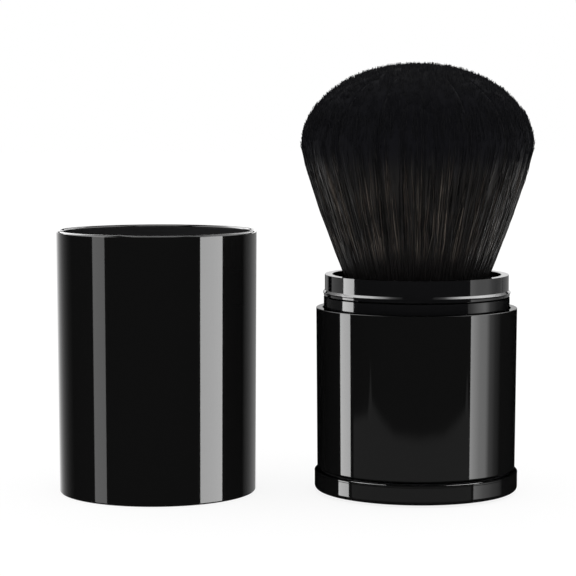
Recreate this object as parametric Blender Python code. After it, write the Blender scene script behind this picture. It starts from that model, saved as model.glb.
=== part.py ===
# Retractable makeup brush: a hair head on a fixed core, a barrel that slides up round the hair,
# and a loose cap that stands mouth up beside it.
# Metres, +Z up. The origin is the centre of the foot's underside, on the axis of the brush.

import math
import random

import bmesh
import bpy
from mathutils import Matrix, Vector

# Gaps between pieces
SEAT_GAP = 0.0003
SKIN_GAP = 0.00025
RUNNING_GAP = 0.0003
SNAP_CLEARANCE = 0.00005
FRICTION_CLEARANCE = 0.0001

# Barrel, the outer tube of the sliding sleeve
BARREL_RADIUS = 0.0200
BARREL_DRAFT = 0.00025
BARREL_EDGE = 0.0003

# Liner of the barrel and the neck that stands above its shoulder
LINER_WALL = 0.0017
LINER_COUNTERBORE = 0.0008
LOWER_NECK_HEIGHT = 0.0021
NECK_HEIGHT = 0.0066
NECK_BEAD_RISE = 0.00015
NECK_BEAD_HEIGHT = 0.0007
NECK_BEAD_LEAD = 0.0004
NECK_BEAD_CHAMFER = 0.0004
NECK_MOUTH_STEP = 0.0002
NECK_MOUTH_EDGE = 0.0003
COLLAR_SPIGOT_LENGTH = 0.0020

# Stop ring in the foot of the liner, and how far the sleeve slides up
STOP_RING_HEIGHT = 0.0020
STOP_RING_LIP = 0.0010
SLEEVE_TRAVEL = 0.0220

# Base ring, base plate and foot pad
BASE_RING_OVERHANG = 0.0003
BASE_RING_WALL = 0.0012
BASE_RING_LIP = 0.0006
BASE_RING_LIP_WIDTH = 0.0034
BASE_RING_TOP_EDGE = 0.00035
BASE_RING_FOOT_EDGE = 0.0008
BASE_PLATE_THICKNESS = 0.0018
FOOT_PAD_PROUD = 0.0003

# Screw that holds the base plate to the core
SCREW_RADIUS = 0.0014
SCREW_HEAD_RADIUS = 0.0027
SCREW_HEAD_HEIGHT = 0.0014
SCREW_LENGTH = 0.0070
SCREW_RECESS_SPAN = 0.0028
SCREW_RECESS_WIDTH = 0.0007
SCREW_RECESS_DEPTH = 0.0009

# Core tube and the weight inside its foot
CORE_WALL = 0.0021
CORE_FLANGE = 0.0010
CORE_WEB = 0.0014
CORE_BOSS_RADIUS = 0.0034
WEIGHT_HEIGHT = 0.0054
WEIGHT_CHAMFER = 0.0005

# Carrier head with its two friction rings
RING_SECTION = 0.0012
GROOVE_LAND = 0.00105
HEAD_SPIGOT_LENGTH = 0.0060
HEAD_SPIGOT_WALL = 0.0016
HEAD_WEB = 0.0020

# Ferrule, resin and hair
FERRULE_LENGTH = 0.00725
FERRULE_WALL = 0.0012
FERRULE_FLOOR = 0.0010
FERRULE_EDGE = 0.0004
FERRULE_SETBACK = 0.0002
RESIN_HEIGHT = 0.0028
HAIR_ROOT_SETBACK = 0.0008
HAIR_RISE = 0.0424
HAIR_DOME_HEIGHT = 0.0176
HAIR_RADIUS = 0.0233
DOME_POWER = 2.15
STRAND_RINGS = 8
STRAND_GAP = 0.0005
STRAND_UNEVENNESS = 0.0006
STRAND_SCATTER_SHARE = 0.3
STRAND_SEED = 7
# How far up a strand each of its sections lies, and how much of the flare it has reached there
STRAND_SHARES = ((0.5, 0.56), (1, 1))

# Cap, which stands beside the brush
CAP_STEP = 0.0001
CAP_DRAFT = 0.0003
CAP_SHELL_WALL = 0.00035
CAP_SHELL_END = 0.0008
CAP_SHELL_EDGE = 0.0003
CAP_LINER_WALL = 0.0006
CAP_LINER_END = 0.0008
CAP_LINER_SETBACK = 0.0005
CAP_HEAD_ROOM = 0.00155
CAP_SPACING = 0.0518

# Steps round a turned piece, round an edge and round a friction ring's section
SEEN_STEPS = 48
HIDDEN_STEPS = 32
SCREW_STEPS = 16
EDGE_STEPS = 3
SECTION_STEPS = 8

# Radii, from the outside in: the cap's rim is a hair inside the barrel, and its liner slips over the neck bead
cap_radius = BARREL_RADIUS - CAP_STEP
cap_shell_bore = cap_radius - CAP_SHELL_WALL
cap_liner_radius = cap_shell_bore - SKIN_GAP
cap_bore = cap_liner_radius - CAP_LINER_WALL
bead_radius = cap_bore - SNAP_CLEARANCE
neck_radius = bead_radius - NECK_BEAD_RISE
mouth_radius = neck_radius - NECK_MOUTH_STEP
barrel_bore = neck_radius + SKIN_GAP
liner_bore = neck_radius - LINER_WALL
counterbore = liner_bore + LINER_COUNTERBORE
stop_bore = liner_bore - STOP_RING_LIP
core_radius = stop_bore - RUNNING_GAP
core_bore = core_radius - CORE_WALL
head_radius = liner_bore - RUNNING_GAP
ferrule_bore = head_radius - FERRULE_WALL
root_radius = ferrule_bore - SEAT_GAP
base_ring_radius = BARREL_RADIUS + BASE_RING_OVERHANG
base_ring_bore = base_ring_radius - BASE_RING_WALL
lip_bore = base_ring_radius - BASE_RING_LIP_WIDTH

# Heights, from the table up
foot_pad_thickness = FOOT_PAD_PROUD + BASE_RING_LIP
plate_z = foot_pad_thickness + SEAT_GAP
core_z = plate_z + BASE_PLATE_THICKNESS + SEAT_GAP
base_ring_top = core_z + CORE_FLANGE
sleeve_z = base_ring_top + SEAT_GAP
head_z = sleeve_z + STOP_RING_HEIGHT + SLEEVE_TRAVEL + SEAT_GAP
groove_width = RING_SECTION + SEAT_GAP + SEAT_GAP
head_length = 2 * groove_width + 3 * GROOVE_LAND
ferrule_z = head_z + head_length + SEAT_GAP
ferrule_top = ferrule_z + FERRULE_LENGTH
resin_z = ferrule_z + FERRULE_FLOOR + SEAT_GAP
hair_z = resin_z + RESIN_HEIGHT + SEAT_GAP
hair_root_top = ferrule_top - HAIR_ROOT_SETBACK
hair_top = ferrule_top + HAIR_RISE
neck_top = ferrule_top + FERRULE_SETBACK
shoulder_z = neck_top - NECK_HEIGHT
liner_top = shoulder_z + LOWER_NECK_HEIGHT
collar_z = liner_top + SEAT_GAP
cap_height = CAP_SHELL_END + SKIN_GAP + CAP_LINER_END + CAP_HEAD_ROOM + hair_top - shoulder_z


def clear_scene():
    for old in list(bpy.data.objects):
        bpy.data.objects.remove(old, do_unlink=True)


def finish(name, colour, metallic, roughness):
    material = bpy.data.materials.new(name)
    material.use_nodes = True
    shader = material.node_tree.nodes["Principled BSDF"]
    shader.inputs["Base Color"].default_value = (*colour, 1)
    shader.inputs["Metallic"].default_value = metallic
    shader.inputs["Roughness"].default_value = roughness
    material.diffuse_color = (*colour, 1)
    return material


def rounded(r, z, radius, start, end):
    # Points of an arc round (r, z), from one angle to another in degrees, 0 pointing outwards and 90 up
    angles = [math.radians(start + (end - start) * i / EDGE_STEPS) for i in range(EDGE_STEPS + 1)]
    return [(r + radius * math.cos(a), z + radius * math.sin(a)) for a in angles]


def new_object(name, bm, material, sharp_degrees=35):
    mesh = bpy.data.meshes.new(name)
    bm.to_mesh(mesh)
    bm.free()
    mesh.shade_smooth()
    mesh.set_sharp_from_angle(angle=math.radians(sharp_degrees))
    mesh.materials.append(material)
    made = bpy.data.objects.new(name, mesh)
    bpy.context.scene.collection.objects.link(made)
    return made


def turned(name, outline, material, steps=HIDDEN_STEPS):
    # The outline's points are (radius, height). One that starts and ends on the axis makes a solid
    # piece, and any other is a closed loop that makes a ring.
    bm = bmesh.new()
    points = [bm.verts.new((r, 0, z)) for r, z in outline]
    edges = [bm.edges.new(pair) for pair in zip(points, points[1:])]
    if outline[0][0] > 0:
        edges.append(bm.edges.new((points[-1], points[0])))
    bmesh.ops.spin(
        bm,
        geom=points + edges,
        cent=(0, 0, 0),
        axis=(0, 0, 1),
        angle=2 * math.pi,
        steps=steps,
        use_merge=True,
    )
    bmesh.ops.remove_doubles(bm, verts=bm.verts, dist=SNAP_CLEARANCE / 10)
    bmesh.ops.recalc_face_normals(bm, faces=bm.faces)
    return new_object(name, bm, material)


def boolean(target, operation, tool):
    tool.hide_render = True
    tool.display_type = "WIRE"
    cut = target.modifiers.new(operation.lower(), "BOOLEAN")
    cut.operation = operation
    cut.solver = "EXACT"
    cut.object = tool


def place(piece, parent, z=0):
    piece.parent = parent
    piece.location = (0, 0, z)
    return piece


def group(name, x=0):
    empty = bpy.data.objects.new(name, None)
    empty.location = (x, 0, 0)
    bpy.context.scene.collection.objects.link(empty)
    return empty


# Pieces of the fixed base


def make_foot_pad():
    radius = lip_bore - SEAT_GAP
    rubber = finish("foot_rubber", (0.02, 0.02, 0.02), 0, 0.8)
    outline = [(0, 0), (radius, 0), (radius, foot_pad_thickness), (0, foot_pad_thickness)]
    return turned("foot_pad", outline, rubber)


def make_base_ring():
    # A gloss skirt with an inward lip under it, and a rounded edge at its top and foot
    height = base_ring_top - FOOT_PAD_PROUD
    top, foot = BASE_RING_TOP_EDGE, BASE_RING_FOOT_EDGE
    outline = [
        (lip_bore, 0),
        *rounded(base_ring_radius - foot, foot, foot, -90, 0),
        *rounded(base_ring_radius - top, height - top, top, 0, 90),
        (base_ring_bore, height),
        (base_ring_bore, BASE_RING_LIP),
        (lip_bore, BASE_RING_LIP),
    ]
    gloss = finish("base_ring_gloss_black", (0.006, 0.006, 0.007), 0, 0.06)
    return turned("base_ring", outline, gloss, SEEN_STEPS)


def make_base_plate():
    radius = base_ring_bore - SEAT_GAP
    through = SCREW_RADIUS + SEAT_GAP
    outline = [
        (SCREW_HEAD_RADIUS + SEAT_GAP, 0),
        (radius, 0),
        (radius, BASE_PLATE_THICKNESS),
        (through, BASE_PLATE_THICKNESS),
        (through, SCREW_HEAD_HEIGHT),
    ]
    return turned("base_plate", outline, finish("plate_black_abs", (0.02, 0.02, 0.022), 0, 0.5))


def make_base_screw():
    # A countersunk screw whose head lies in the plate, with a cross recess from below
    outline = [
        (0, 0),
        (SCREW_HEAD_RADIUS, 0),
        (SCREW_RADIUS, SCREW_HEAD_HEIGHT),
        (SCREW_RADIUS, SCREW_LENGTH - SCREW_RADIUS),
        (0, SCREW_LENGTH),
    ]
    steel = finish("zinc_steel_screw", (0.6, 0.6, 0.62), 1, 0.35)
    screw = turned("base_screw", outline, steel, SCREW_STEPS)
    inner, outer = SCREW_RECESS_WIDTH / 2, SCREW_RECESS_SPAN / 2
    quarter = [(outer, -inner), (outer, inner), (inner, inner)]
    corners = [Matrix.Rotation(math.pi / 2 * i, 2) @ Vector(c) for i in range(4) for c in quarter]
    bm = bmesh.new()
    ring = [bm.verts.new((x, y, SCREW_RECESS_DEPTH)) for x, y in corners]
    raised = bmesh.ops.extrude_face_region(bm, geom=[bm.faces.new(ring)])
    moved = [v for v in raised["geom"] if isinstance(v, bmesh.types.BMVert)]
    bmesh.ops.translate(bm, verts=moved, vec=(0, 0, -2 * SCREW_RECESS_DEPTH))
    bmesh.ops.recalc_face_normals(bm, faces=bm.faces)
    boolean(screw, "DIFFERENCE", new_object("screw_recess_cutter", bm, steel))
    return screw


def make_base_weight():
    inner = CORE_BOSS_RADIUS + SEAT_GAP
    outer = core_bore - SEAT_GAP
    outline = [
        (inner, 0),
        (outer - WEIGHT_CHAMFER, 0),
        (outer, WEIGHT_CHAMFER),
        (outer, WEIGHT_HEIGHT - WEIGHT_CHAMFER),
        (outer - WEIGHT_CHAMFER, WEIGHT_HEIGHT),
        (inner, WEIGHT_HEIGHT),
    ]
    return turned("base_weight", outline, finish("plain_steel_weight", (0.35, 0.35, 0.36), 1, 0.45))


def make_core_tube():
    # A moulded post: flange on the base plate, a web over the weight, a boss for the screw, a plain tube above
    height = head_z - SEAT_GAP - core_z
    web = WEIGHT_HEIGHT + SEAT_GAP
    hole = SCREW_RADIUS + SEAT_GAP
    hole_top = plate_z + SCREW_LENGTH + SEAT_GAP - core_z
    outline = [
        (0, hole_top),
        (hole, hole_top),
        (hole, 0),
        (CORE_BOSS_RADIUS, 0),
        (CORE_BOSS_RADIUS, web),
        (core_bore, web),
        (core_bore, 0),
        (base_ring_bore - SEAT_GAP, 0),
        (base_ring_bore - SEAT_GAP, CORE_FLANGE),
        (core_radius, CORE_FLANGE),
        (core_radius, height),
        (core_bore, height),
        (core_bore, web + CORE_WEB),
        (0, web + CORE_WEB),
    ]
    return turned("core_tube", outline, finish("core_black_abs", (0.025, 0.025, 0.027), 0, 0.4))


def make_carrier_head():
    # The piston on top of the core: two ring grooves outside, and a hollow spigot down into the core
    spigot = core_bore - SEAT_GAP
    hollow = spigot - HEAD_SPIGOT_WALL
    floor = head_radius - RING_SECTION + FRICTION_CLEARANCE - RUNNING_GAP
    base = HEAD_SPIGOT_LENGTH
    top = base + head_length
    outline = [(0, top - HEAD_WEB), (hollow, top - HEAD_WEB), (hollow, 0), (spigot, 0), (spigot, base)]
    outline.append((head_radius, base))
    for i in range(2):
        low = base + GROOVE_LAND + i * (groove_width + GROOVE_LAND)
        high = low + groove_width
        outline += [(head_radius, low), (floor, low), (floor, high), (head_radius, high)]
    outline += [(head_radius, top), (0, top)]
    return turned("carrier_head", outline, finish("head_black_abs", (0.03, 0.03, 0.032), 0, 0.4))


def make_friction_ring(name):
    section = RING_SECTION / 2
    middle = liner_bore - FRICTION_CLEARANCE - section
    turns = [2 * math.pi * i / SECTION_STEPS for i in range(SECTION_STEPS)]
    outline = [(middle + section * math.cos(a), section * math.sin(a)) for a in turns]
    return turned(name, outline, finish(name + "_silicone", (0.05, 0.05, 0.055), 0, 0.6))


def make_ferrule():
    outline = [
        (0, 0),
        *rounded(head_radius - FERRULE_EDGE, FERRULE_EDGE, FERRULE_EDGE, -90, 0),
        *rounded(head_radius - FERRULE_EDGE, FERRULE_LENGTH - FERRULE_EDGE, FERRULE_EDGE, 0, 90),
        (ferrule_bore, FERRULE_LENGTH),
        (ferrule_bore, FERRULE_FLOOR),
        (0, FERRULE_FLOOR),
    ]
    black = finish("ferrule_black_aluminium", (0.01, 0.01, 0.011), 0.6, 0.3)
    return turned("ferrule", outline, black, SEEN_STEPS)


def make_resin_plug():
    outline = [(0, 0), (root_radius, 0), (root_radius, RESIN_HEIGHT), (0, RESIN_HEIGHT)]
    return turned("resin_plug", outline, finish("amber_resin", (0.35, 0.2, 0.08), 0, 0.3))


def make_bristles():
    # Scattered triangles over the top of the root slice are each inset and drawn up twice, into strands
    # that fan out in a slight bow and end on a dome. All of them spread alike, so none cross.
    random.seed(STRAND_SEED)
    thickness = hair_root_top - hair_z
    dome_base = hair_top - HAIR_DOME_HEIGHT - hair_z
    scatter = STRAND_SCATTER_SHARE * root_radius / STRAND_RINGS
    bm = bmesh.new()
    rings = [[bm.verts.new((0, 0, 0))]]
    for ring in range(1, STRAND_RINGS + 1):
        turns = [math.pi / 3 * i / ring for i in range(6 * ring)]
        radius = root_radius * ring / STRAND_RINGS
        rings.append([bm.verts.new((radius * math.cos(a), radius * math.sin(a), 0)) for a in turns])
        inner, outer = rings[-2], rings[-1]
        for sixth in range(6):
            for step in range(ring):
                near = inner[(sixth * (ring - 1) + step) % len(inner)]
                first = outer[sixth * ring + step]
                second = outer[(sixth * ring + step + 1) % len(outer)]
                bm.faces.new((near, first, second))
                if step < ring - 1:
                    bm.faces.new((near, second, inner[(sixth * (ring - 1) + step + 1) % len(inner)]))
    for v in (v for ring in rings[:-1] for v in ring):
        v.co.xy += Vector((random.uniform(-scatter, scatter), random.uniform(-scatter, scatter)))
    under = bm.faces[:]
    raised = bmesh.ops.extrude_face_region(bm, geom=under)["geom"]
    for v in raised:
        if isinstance(v, bmesh.types.BMVert):
            v.co.z = thickness
    strands = [f for f in raised if isinstance(f, bmesh.types.BMFace)]
    bmesh.ops.dissolve_faces(bm, faces=under)
    bmesh.ops.inset_individual(bm, faces=strands, thickness=STRAND_GAP / 2, use_even_offset=True)
    spread = HAIR_RADIUS / (root_radius - STRAND_GAP / 2)
    short = [random.uniform(0, STRAND_UNEVENNESS) for f in strands]
    width = 1
    for height_share, flare_share in STRAND_SHARES:
        wider = 1 + (spread - 1) * flare_share
        strands = bmesh.ops.extrude_discrete_faces(bm, faces=strands)["faces"]
        for strand, cut in zip(strands, short):
            for v in strand.verts:
                root = v.co.xy / width
                out = min(root.length * spread / HAIR_RADIUS, 1)
                tip = dome_base - cut + HAIR_DOME_HEIGHT * (1 - out**DOME_POWER) ** (1 / DOME_POWER)
                v.co.xy = root * wider
                v.co.z = thickness + (tip - thickness) * height_share
        width = wider
    bmesh.ops.recalc_face_normals(bm, faces=bm.faces)
    hair = finish("black_synthetic_hair", (0.012, 0.010, 0.010), 0, 0.55)
    return new_object("bristles", bm, hair)


# Pieces of the sliding sleeve


def make_barrel_shell():
    height = shoulder_z - sleeve_z
    edge = BARREL_EDGE
    outline = [
        (barrel_bore, 0),
        (BARREL_RADIUS - BARREL_DRAFT, 0),
        *rounded(BARREL_RADIUS - edge, height - edge, edge, 0, 90),
        (barrel_bore, height),
    ]
    gloss = finish("barrel_gloss_black", (0.006, 0.006, 0.007), 0, 0.05)
    return turned("barrel_shell", outline, gloss, SEEN_STEPS)


def make_barrel_liner():
    # The tube that runs on the carrier head, counterbored for the stop ring below and the collar above
    height = liner_top - sleeve_z
    lower = STOP_RING_HEIGHT + SEAT_GAP
    upper = height - COLLAR_SPIGOT_LENGTH
    outline = [
        (counterbore, 0),
        (neck_radius, 0),
        (neck_radius, height),
        (counterbore, height),
        (counterbore, upper),
        (liner_bore, upper),
        (liner_bore, lower),
        (counterbore, lower),
    ]
    gloss = finish("liner_black_abs", (0.008, 0.008, 0.009), 0, 0.12)
    return turned("barrel_liner", outline, gloss, SEEN_STEPS)


def make_neck_collar():
    # The mouth of the sleeve: a spigot in the liner, the bead that the cap snaps over, and a plain neck
    base = COLLAR_SPIGOT_LENGTH
    top = base + neck_top - collar_z
    bead_low = base + NECK_BEAD_LEAD
    bead_high = bead_low + NECK_BEAD_HEIGHT
    spigot = counterbore - SEAT_GAP
    slope = NECK_BEAD_RISE
    outline = [
        (liner_bore, 0),
        (spigot, 0),
        (spigot, base),
        (neck_radius, base),
        (neck_radius, bead_low),
        (bead_radius, bead_low + slope),
        (bead_radius, bead_high - NECK_BEAD_CHAMFER),
        (mouth_radius, bead_high),
        *rounded(mouth_radius - NECK_MOUTH_EDGE, top - NECK_MOUTH_EDGE, NECK_MOUTH_EDGE, 0, 90),
        (liner_bore, top),
    ]
    gloss = finish("collar_black_abs", (0.008, 0.008, 0.009), 0, 0.1)
    return turned("neck_collar", outline, gloss, SEEN_STEPS)


def make_stop_ring():
    outer = counterbore - SEAT_GAP
    outline = [(stop_bore, 0), (outer, 0), (outer, STOP_RING_HEIGHT), (stop_bore, STOP_RING_HEIGHT)]
    return turned("stop_ring", outline, finish("stop_white_acetal", (0.75, 0.75, 0.73), 0, 0.45))


# Pieces of the cap, with its closed end down


def make_cap_shell():
    edge = CAP_SHELL_EDGE
    outline = [
        (0, 0),
        *rounded(cap_radius - CAP_DRAFT - edge, edge, edge, -90, 0),
        (cap_radius, cap_height),
        (cap_shell_bore, cap_height),
        (cap_shell_bore - CAP_DRAFT, CAP_SHELL_END),
        (0, CAP_SHELL_END),
    ]
    gloss = finish("cap_gloss_black", (0.006, 0.006, 0.007), 0, 0.05)
    return turned("cap_shell", outline, gloss, SEEN_STEPS)


def make_cap_liner():
    height = cap_height - CAP_SHELL_END - SKIN_GAP - CAP_LINER_SETBACK
    outline = [
        (0, 0),
        (cap_liner_radius - CAP_DRAFT, 0),
        (cap_liner_radius, height),
        (cap_bore, height),
        (cap_bore - CAP_DRAFT, CAP_LINER_END),
        (0, CAP_LINER_END),
    ]
    satin = finish("cap_liner_black_pp", (0.012, 0.012, 0.013), 0, 0.35)
    return turned("cap_liner", outline, satin, SEEN_STEPS)


def main():
    clear_scene()
    base = group("brush_base")
    sleeve = group("sliding_sleeve")
    cap = group("loose_cap", -CAP_SPACING)

    place(make_foot_pad(), base)
    place(make_base_ring(), base, FOOT_PAD_PROUD)
    place(make_base_plate(), base, plate_z)
    place(make_base_screw(), base, plate_z)
    place(make_base_weight(), base, core_z)
    place(make_core_tube(), base, core_z)
    place(make_carrier_head(), base, head_z - HEAD_SPIGOT_LENGTH)
    first_ring = head_z + GROOVE_LAND + groove_width / 2
    place(make_friction_ring("friction_ring_lower"), base, first_ring)
    place(make_friction_ring("friction_ring_upper"), base, first_ring + groove_width + GROOVE_LAND)
    place(make_ferrule(), base, ferrule_z)
    place(make_resin_plug(), base, resin_z)
    place(make_bristles(), base, hair_z)

    place(make_stop_ring(), sleeve, sleeve_z)
    place(make_barrel_liner(), sleeve, sleeve_z)
    place(make_barrel_shell(), sleeve, sleeve_z)
    place(make_neck_collar(), sleeve, collar_z - COLLAR_SPIGOT_LENGTH)

    place(make_cap_shell(), cap)
    place(make_cap_liner(), cap, CAP_SHELL_END + SKIN_GAP)


main()
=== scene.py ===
import math

import bpy
import numpy as np
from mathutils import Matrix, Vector


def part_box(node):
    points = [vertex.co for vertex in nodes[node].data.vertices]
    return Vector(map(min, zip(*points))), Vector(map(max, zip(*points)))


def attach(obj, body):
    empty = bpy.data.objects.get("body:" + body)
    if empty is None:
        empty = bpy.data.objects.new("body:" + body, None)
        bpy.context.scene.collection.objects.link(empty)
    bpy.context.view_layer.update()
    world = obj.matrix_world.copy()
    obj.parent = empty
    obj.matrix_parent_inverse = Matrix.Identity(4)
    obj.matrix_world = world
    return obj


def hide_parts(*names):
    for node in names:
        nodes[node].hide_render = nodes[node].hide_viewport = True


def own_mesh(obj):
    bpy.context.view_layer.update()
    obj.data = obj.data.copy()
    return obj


# Retractable makeup brush with its cap off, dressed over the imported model. The scene is in metres, with the
# brush on x = 0. In the dictionaries the pieces and finishes are in mm, the depth of a pattern is in microns,
# and the room and the lamps are in metres.

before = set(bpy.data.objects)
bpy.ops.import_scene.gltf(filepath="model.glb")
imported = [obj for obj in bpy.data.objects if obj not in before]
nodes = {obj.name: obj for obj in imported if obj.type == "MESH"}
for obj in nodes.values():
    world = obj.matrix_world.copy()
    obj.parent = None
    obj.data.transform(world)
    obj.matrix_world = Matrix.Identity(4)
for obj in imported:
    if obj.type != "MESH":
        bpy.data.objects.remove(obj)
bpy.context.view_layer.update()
mm, micron = 0.001, 1e-6
capX = sum(corner.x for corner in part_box("cap_shell")) / 2
print("frame loaded,", len(nodes), "nodes")


# Small tools

def toLinear(hexColour):
    parts = [int(hexColour[i:i + 2], 16) / 255 for i in (1, 3, 5)]
    return tuple(c / 12.92 if c <= 0.04045 else ((c + 0.055) / 1.055) ** 2.4 for c in parts) + (1.0,)


def toGrey(value):
    return (value, value, value, 1)


def perMetre(featureInMm):
    return 1000 / featureInMm  # a pattern's scale from the real size of one feature


def addNode(tree, kind, values=None, links=None, **settings):
    node = tree.nodes.new(kind)
    for name, value in settings.items():
        setattr(node, name, value)
    for socket, value in (values or {}).items():
        node.inputs[socket].default_value = value
    for socket, (source, output) in (links or {}).items():
        tree.links.new(source.outputs[output], node.inputs[socket])
    return node


def newFinish(name, **values):
    material = bpy.data.materials.new(name)
    material.use_nodes = True
    shader = material.node_tree.nodes["Principled BSDF"]
    for socket, value in values.items():
        shader.inputs[socket.replace("_", " ")].default_value = value
    place = addNode(material.node_tree, "ShaderNodeTexCoord")
    return material, material.node_tree, shader, place


def setRamp(ramp, stops, colourOf=toLinear):
    elements = ramp.color_ramp.elements
    elements.remove(elements[-1])
    elements[0].position, elements[0].color = stops[0][0], colourOf(stops[0][1])
    for position, value in stops[1:]:
        elements.new(position).color = colourOf(value)


def outlineFrom(corners, closed, bends=6, support=0.04):
    # Corners are (radius, height, edge radius) in mm. Each rounded one gets an arc and a support point on
    # both sides, so that the long walls stay flat in a reflection.
    count = len(corners)
    points = []
    for i, (r, z, edge) in enumerate(corners):
        here = Vector((r, z))
        if edge <= 0 or (not closed and i in (0, count - 1)):
            points.append(here)
            continue
        before = Vector(corners[i - 1][:2]) - here
        after = Vector(corners[(i + 1) % count][:2]) - here
        a, b = before.normalized(), after.normalized()
        half = a.angle(b) / 2
        reach = edge / math.tan(half)
        centre = here + (a + b).normalized() * (edge / math.sin(half))
        start, end = here + a * reach, here + b * reach
        margin = min(support, (before.length - reach) / 3, (after.length - reach) / 3)
        first, last = start - centre, end - centre
        turn = first.angle_signed(last)
        points.append(start + a * margin)
        for step in range(bends + 1):
            angle = -turn * step / bends
            c, s = math.cos(angle), math.sin(angle)
            points.append(centre + Vector((first.x * c - first.y * s, first.x * s + first.y * c)))
        points.append(end + b * margin)
    return [(p.x * mm, p.y * mm) for p in points]


def turnShell(name, corners, body, material, centreX=0.0, closed=True, steps=256, sharpFrom=32,
              node=None):
    outline = outlineFrom(corners, closed)
    rows = len(outline)
    onAxis = [r < 1e-7 for r, z in outline]
    angles = np.arange(steps) * 2 * math.pi / steps
    vertices, faces, ringStart = [], [], []
    for (r, z), single in zip(outline, onAxis):
        ringStart.append(len(vertices))
        if single:
            vertices.append((centreX, 0, z))
        else:
            vertices += [(centreX + r * math.cos(a), r * math.sin(a), z) for a in angles]
    for row in range(rows if closed else rows - 1):
        above = (row + 1) % rows
        low, high = ringStart[row], ringStart[above]
        for i in range(steps):
            j = (i + 1) % steps
            if onAxis[row]:
                faces.append((low, high + j, high + i))
            elif onAxis[above]:
                faces.append((low + i, low + j, high))
            else:
                faces.append((low + i, low + j, high + j, high + i))
    mesh = bpy.data.meshes.new(name)
    mesh.from_pydata(vertices, [], faces)
    mesh.shade_smooth()
    mesh.set_sharp_from_angle(angle=math.radians(sharpFrom))
    mesh.materials.append(material)
    piece = bpy.data.objects.new(name, mesh)
    bpy.context.scene.collection.objects.link(piece)
    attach(piece, body)
    if node:
        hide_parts(node)
    return piece


def nodeMm(name):
    low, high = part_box(name)
    return low.z / mm, high.z / mm, (high.x - low.x) / 2 / mm  # foot, top and outer radius of a turned node


# Finishes

# Black lacquer, sprayed and baked: a deep mirror gloss, with a faint orange peel that only bends an edge
lacquer = {"colour": "#101010", "peel": 0.9, "peelDepth": 0.25, "haze": 7.0, "clear": 0.03, "hazed": 0.05}
lacquerBlack, tree, shader, place = newFinish(
    "sprayedBlackLacquer", Base_Color=toLinear(lacquer["colour"]), IOR=1.5)
peel = addNode(tree, "ShaderNodeTexNoise", {"Scale": perMetre(lacquer["peel"]), "Detail": 2.0},
               {"Vector": (place, "Object")})
haze = addNode(tree, "ShaderNodeTexNoise", {"Scale": perMetre(lacquer["haze"]), "Detail": 4.0},
               {"Vector": (place, "Object")})
polish = addNode(tree, "ShaderNodeMapRange", {
    "From Min": 0.35, "From Max": 0.7, "To Min": lacquer["clear"], "To Max": lacquer["hazed"],
}, {"Value": (haze, "Fac")})
bump = addNode(tree, "ShaderNodeBump", {"Strength": 1.0, "Distance": lacquer["peelDepth"] * micron},
               {"Height": (peel, "Fac")})
tree.links.new(polish.outputs["Result"], shader.inputs["Roughness"])
tree.links.new(bump.outputs["Normal"], shader.inputs["Normal"])

# ABS from a polished mould: nearly as glossy as the lacquer, a little softer
glossAbsLook = {"colour": "#111112", "flow": 5.0, "clear": 0.04, "dull": 0.07}
absGloss, tree, shader, place = newFinish(
    "mouldedGlossAbs", Base_Color=toLinear(glossAbsLook["colour"]), IOR=1.53)
flow = addNode(tree, "ShaderNodeTexNoise", {"Scale": perMetre(glossAbsLook["flow"]), "Detail": 3.0},
               {"Vector": (place, "Object")})
polish = addNode(tree, "ShaderNodeMapRange", {
    "From Min": 0.3, "From Max": 0.7, "To Min": glossAbsLook["clear"], "To Max": glossAbsLook["dull"],
}, {"Value": (flow, "Fac")})
tree.links.new(polish.outputs["Result"], shader.inputs["Roughness"])

# ABS from a spark-eroded mould: an even, fine matte grain
matteAbsLook = {"colour": "#29292b", "roughness": 0.5, "grain": 0.25, "grainDepth": 8}
absMatte, tree, shader, place = newFinish(
    "mouldedMatteAbs", Base_Color=toLinear(matteAbsLook["colour"]), Roughness=matteAbsLook["roughness"],
    IOR=1.53)
grain = addNode(tree, "ShaderNodeTexNoise", {"Scale": perMetre(matteAbsLook["grain"]), "Detail": 3.0},
                {"Vector": (place, "Object")})
bump = addNode(tree, "ShaderNodeBump", {"Strength": 0.6, "Distance": matteAbsLook["grainDepth"] * micron},
               {"Height": (grain, "Fac")})
tree.links.new(bump.outputs["Normal"], shader.inputs["Normal"])

# Dyed synthetic fibre, drawn and tapered: near black tips, and brown and grey shafts that catch the light
fibre = {
    "shaft": [(0.0, "#0d0c0c"), (0.25, "#171616"), (0.45, "#211f1d"), (0.6, "#272627"), (0.75, "#352d27"),
              (0.88, "#3b3834"), (1.0, "#585049")],  # from the darkest fibres to the lightest
    "streak": 2.6, "streakDraw": 0.12, "drift": 0.9,  # whole streaks run lighter or darker, drawn out along z
    "paintedLowLight": 0.08, "lowFrom": 0.15, "lowTo": 0.5,  # and painted light: the lower part of the shafts a little lighter
    "root": "#1b1919", "rootFrom": 0.1, "rootTo": 0.25,  # share of the length with painted shade at the root, where the fibres leave the ferrule
    "tip": "#131316", "fadeFrom": 61.0, "fadeTo": 68.0, "ragged": 4.0,  # the fade's heights, shifted by fibre
    "shuffle": 37.0,  # turns the tone into that shift, a second random value
    "shaftGloss": 0.3, "tipGloss": 0.0,
    # the sheen rises with height, a painted highlight along the top of the dome
    "sheenFrom": 77.0, "sheenTo": 85.0, "sideSheen": 0.03, "topSheen": 0.075,
}
dyedFibre, tree, shader, place = newFinish("dyedTaperedFibre", Roughness=0.5, IOR=1.5)
along = addNode(tree, "ShaderNodeAttribute", attribute_name="along")
tone = addNode(tree, "ShaderNodeAttribute", attribute_name="tone")
stretch = addNode(tree, "ShaderNodeMapping", {"Scale": (1, 1, fibre["streakDraw"])},
                  {"Vector": (place, "Object")})
patch = addNode(tree, "ShaderNodeTexNoise", {"Scale": perMetre(fibre["streak"]), "Detail": 2.0},
                {"Vector": (stretch, "Vector")})
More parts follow.
